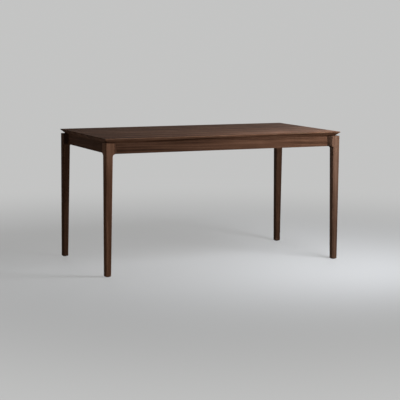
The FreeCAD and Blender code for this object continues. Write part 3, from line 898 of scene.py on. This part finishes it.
def carved(blank, cuts):
    """Mesh that is left of a blank after Boolean cuts, given as pairs of operation and tool."""
    holder = bpy.data.objects.new("blank", blank)
    bpy.context.scene.collection.objects.link(holder)
    tools = []
    for operation, mesh in cuts:
        tool = bpy.data.objects.new("tool", mesh)
        bpy.context.scene.collection.objects.link(tool)
        cut = holder.modifiers.new("cut", "BOOLEAN")
        cut.operation, cut.object, cut.solver = operation, tool, "EXACT"
        tools.append(tool)
    ready = holder.evaluated_get(bpy.context.evaluated_depsgraph_get())
    left = bpy.data.meshes.new_from_object(ready)
    for done in [holder] + tools:
        bpy.data.objects.remove(done)
    return left


def crossed(screw):
    """A screw with a cross pressed into its head."""
    arm = wedge(CROSS_LENGTH, CROSS_WIDTH, CROSS_DEPTH)
    other_arm = arm.copy()
    other_arm.transform(Matrix.Rotation(math.radians(90), 4, "Z"))
    return carved(screw, [("DIFFERENCE", arm), ("DIFFERENCE", other_arm)])


print("cross", CROSS_LENGTH * 1000, "mm wide and", CROSS_DEPTH * 1000, "mm deep")

# %% [markdown]
# ## Pan-head screws
# A pan head stands on the corner block, domed above and flat below. Head, thread and point are one stack of
# rings, so the screw is one closed skin before the cross is cut.

# %% Make the pan-head screw
SCREW_SIDES = 16
NECK_GAP = 0.0002
PAN_SHARES = [(0.0, 0.30), (0.00015, 0.60), (0.0005, 0.825), (0.0012, 0.975), (0.0019, 1.0)]
PAN_HEIGHT, PAN_NECK, PAN_POINT = 0.0026, 0.0015, 0.004
PAN_CUT = {"depth": 0.0005, "pitch": 0.0018}

pan_bar = drawn["block_screws"]
pan_head = [(-depth, pan_bar["head"] * share) for depth, share in PAN_SHARES]
pan_head += [(-PAN_HEIGHT, pan_bar["head"]), (-PAN_HEIGHT, PAN_NECK)]
pan_thread = thread(pan_bar["shank"] - SKIN, high=-PAN_HEIGHT - NECK_GAP, low=-pan_bar["length"],
                    sides=SCREW_SIDES, **PAN_CUT)
pan_rings = plain(pan_head, SCREW_SIDES) + pointed(pan_thread, PAN_POINT)
pan_screw = crossed(turned(pan_rings, "pan_screw"))
print("pan-head screw with", len(pan_screw.polygons), "faces")

# %% [markdown]
# ## Countersunk screws
# The screws in the top are countersunk, with a plain neck under the head that slips through the rail or the
# button. Those in the rails are a little longer than those in the buttons, so one function makes both.

# %% Make the countersunk screws
TOP_SKIN = 0.00003
RIM_DEPTH, RIM_ROUNDING = 0.00015, 0.0002
SINK_DEPTH, NECK_DEPTH, NECK_RADIUS = 0.0027, 0.0090, 0.0019
TOP_CUT = {"depth": 0.0006, "pitch": 0.0020}
TOP_POINT = 0.005


def top_screw(bar):
    """A countersunk screw as long and as thick as a drawn one."""
    outer = bar["shank"] - TOP_SKIN
    head = [(0.0, bar["head"] - RIM_ROUNDING), (-RIM_DEPTH, bar["head"]), (-SINK_DEPTH, outer),
            (-NECK_DEPTH, NECK_RADIUS)]
    top_thread = thread(outer, high=-NECK_DEPTH - NECK_GAP, low=-bar["length"], sides=SCREW_SIDES, **TOP_CUT)
    return crossed(turned(plain(head, SCREW_SIDES) + pointed(top_thread, TOP_POINT), "top_screw"))


button_screw = top_screw(drawn["button_screws"])
rail_screw = top_screw(drawn["rail_screws"])
print("countersunk screws with", len(button_screw.polygons), "and", len(rail_screw.polygons), "faces")

# %% [markdown]
# ## Nuts
# A nut starts as a slice of hexagonal bar, which is then turned and bored. Its two ends are alike, so the
# turned form and the bore are drawn for the upper end only, and turned over for the lower one.

# %% Make the nut
CHAMFER = [(0.0001, 0.0061), (-0.0008, 0.0076)]
BORE = [(0.001, 0.0051), (-0.0009, 0.00408)]
NUT_SIDES, CHAMFER_SIDES, BORE_SIDES = 6, 40, 28

nut_bar = drawn["hanger_nuts"]


def both_ends(profile):
    """A profile of the upper end of a nut, and the same turned over for its lower end."""
    return profile + [(-nut_bar["length"] - height, radius) for height, radius in reversed(profile)]


blank_nut = turned(plain(both_ends([(0, nut_bar["head"])]), NUT_SIDES), "nut_blank")
chamfer_tool = turned(plain(both_ends(CHAMFER), CHAMFER_SIDES), "chamfer")
bore_tool = turned(plain(both_ends(BORE), BORE_SIDES), "bore")
nut = carved(blank_nut, [("INTERSECT", chamfer_tool), ("DIFFERENCE", bore_tool)])
print("nut with", len(nut.polygons), "faces")

# %% [markdown]
# ## Copies in place
# Each copy is laid with its head where the drawn head is. Screws never stop at the same angle, so every
# copy is rolled a little further than the one before. One mesh then stands for the whole set, rides on the
# table and hides the plain bars.

# %% Put the fasteners in place
def replace_set(name, node, mesh, material, roll=0.0):
    """Put a copy of a mesh at each solid of a set, head to head. Each copy is rolled past the last one."""
    shape = bmesh.new()
    found = islands(node)
    for number, points in enumerate(found):
        up = HEADS_LOOK[node](points)
        middle = middle_of(points)
        top = middle + up * (max(point.dot(up) for point in points) - middle.dot(up))
        turn = up.to_track_quat("Z", "Y").to_matrix().to_4x4() @ Matrix.Rotation(roll * number, 4, "Z")
        copy = mesh.copy()
        copy.transform(Matrix.Translation(top) @ turn)
        shape.from_mesh(copy)
        bpy.data.meshes.remove(copy)
    whole = bpy.data.objects.new(name, finished_mesh(shape, name))
    whole.data.materials.append(material)
    bpy.context.scene.collection.objects.link(whole)
    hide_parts(node)
    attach(whole, "root")
    print(name, "stands for", len(found), "solids of", node)


dowel_wood = pieces["apron_dowels"].data.materials[0]
replace_set("threaded_hanger_bolts", "hanger_bolts", hanger_bolt, zinc_plate, roll=1.3)
replace_set("chamfered_nuts", "hanger_nuts", nut, zinc_plate)
replace_set("pan_head_screws", "block_screws", pan_screw, zinc_plate, roll=0.7)
replace_set("button_top_screws", "button_screws", button_screw, zinc_plate, roll=0.9)
replace_set("rail_top_screws", "rail_screws", rail_screw, zinc_plate, roll=1.1)
replace_set("fluted_dowels", "apron_dowels", dowel, dowel_wood)

# %% [markdown]
# ## Surroundings
# A pale distance keeps the eye on the table. It could be a lit wall, but a wall has to be lit as evenly as
# the table. Instead the world itself is pale, for rays that go to the camera or into a gloss. Rays that
# only gather light see a much dimmer one: the lamps are what lights the table, and its far side stays in
# shade.

# %% Make the world
PALE = (0.55, 0.552, 0.548, 1)
AMBIENT = (0.025, 0.025, 0.025, 1)


def seen(wire):
    """1 for rays that show the surroundings, and 0 for those that only gather light from them."""
    shown = wire.node("LightPath", output="Is Camera Ray") + wire.node("LightPath", output="Is Glossy Ray")
    shown = shown + wire.node("LightPath", output="Is Transmission Ray")
    return shown.least(1.0)


world = bpy.data.worlds.new("pale_distance")
world.use_nodes = True
bpy.context.scene.world = world
background = world.node_tree.nodes["Background"].inputs["Color"]
world.node_tree.links.new(seen(Wire(world.node_tree)).mix(AMBIENT, PALE).socket, background)
print("world of brightness", PALE[1], "to look at, and", AMBIENT[1], "as light")

# %% [markdown]
# ## Floor
# The floor takes the shadow near the table and turns into the colour of the world further out, so no
# horizon cuts across the picture. A Mix Shader with the distance as its factor does that. Seen from below,
# the floor would hide the table, so there it is clear.

# %% Make the floor
FLOOR_PALE = (0.80, 0.80, 0.795, 1)
FLOOR_DIM = (0.46, 0.455, 0.45, 1)
FLOOR_SPAN = 60.0
FLOOR_GLOW = 0.55
FLOOR_DULLNESS = 0.9
FADE_START, FADE_END = 1.2, 3.6

bpy.ops.mesh.primitive_grid_add(x_subdivisions=2, y_subdivisions=2, size=FLOOR_SPAN)
floor = bpy.context.object
floor.name = "floor"

floor_material, wire = new_material("pale_floor")
floor_nodes = floor_material.node_tree.nodes
shown = seen(wire)
set_surface(floor_material, Base_Color=shown.mix(FLOOR_DIM, FLOOR_PALE), Roughness=FLOOR_DULLNESS)
near_floor = Wire(floor_material.node_tree, floor_nodes["Principled BSDF"].outputs[0])
far_floor = wire.node("Emission", None, {"Color": shown.mix(AMBIENT, PALE)})
place = wire.node("TexCoord", output="Object")
distance = wire.node("VectorMath", {"operation": "LENGTH"}, {0: place}, "Value")
paleness = FLOOR_GLOW + distance.fade(FADE_START, FADE_END) * (1 - FLOOR_GLOW)
both = wire.node("MixShader", None, {0: paleness, 1: near_floor, 2: far_floor})
below = wire.node("NewGeometry", output="Backfacing") * wire.node("LightPath", output="Is Camera Ray")
clear = wire.node("MixShader", None, {0: below, 1: both, 2: wire.node("BsdfTransparent")})
floor_material.node_tree.links.new(clear.socket, floor_nodes["Material Output"].inputs["Surface"])
floor.data.materials.append(floor_material)
print("floor", FLOOR_SPAN, "m across, turning into the pale distance from", FADE_START, "m out")

# %% [markdown]
# ## Light
# A soft key lamp hangs close to the front on the right, so the top and the front brighten from left to
# right. A wide lamp, low and far in front, evens out the aprons and reaches the bevel under the rim. One
# behind on the right lays a sheen along the top. Three more, for the back, the left end and the underside,
# keep those readable without touching the front. Point lamps would be quicker to set, but they draw hard
# shadows, and it is soft ones that show a satin finish.

# %% Set the lamps
LAMPS = {
    "key": {"place": (0.85, -1.05, 1.4), "aim": (0.4, 0.0, 0.6), "size": (0.8, 0.8), "watts": 28.0,
            "colour": (0.96, 1.0, 1.07)},
    "front": {"place": (1.4, -4.4, 0.3), "aim": (0.2, 0.0, 0.7), "size": (2.4, 0.6), "watts": 50.0},
    "sheen": {"place": (3.2, 3.0, 1.7), "aim": (0.2, 0.0, 0.7), "size": (1.4, 1.4), "watts": 19.0},
    "back": {"place": (1.2, 6.5, 0.5), "aim": (0.0, 0.0, 0.5), "size": (2.4, 0.4), "watts": 150.0},
    "left": {"place": (-3.6, -0.3, 1.2), "aim": (-0.5, 0.0, 0.5), "size": (1.6, 1.2), "watts": 7.0},
    "under": {"place": (0.0, 0.0, 0.04), "aim": (0.0, 0.0, 0.7), "size": (1.0, 0.4), "watts": 0.9},
}

for name, setting in LAMPS.items():
    lamp = bpy.data.lights.new(name, "AREA")
    lamp.shape = "RECTANGLE"
    lamp.size, lamp.size_y = setting["size"]
    lamp.energy = setting["watts"]
    lamp.color = setting.get("colour", (1, 1, 1))
    holder = bpy.data.objects.new(name, lamp)
    holder.location = setting["place"]
    aim = Vector(setting["aim"]) - Vector(setting["place"])
    holder.rotation_euler = aim.to_track_quat("-Z", "Y").to_euler()
    holder.visible_camera = False
    bpy.context.scene.collection.objects.link(holder)
    print(name, "lamp", setting["watts"], "W at", round(aim.length, 2), "m")

bpy.context.scene.view_settings.view_transform = "Standard"
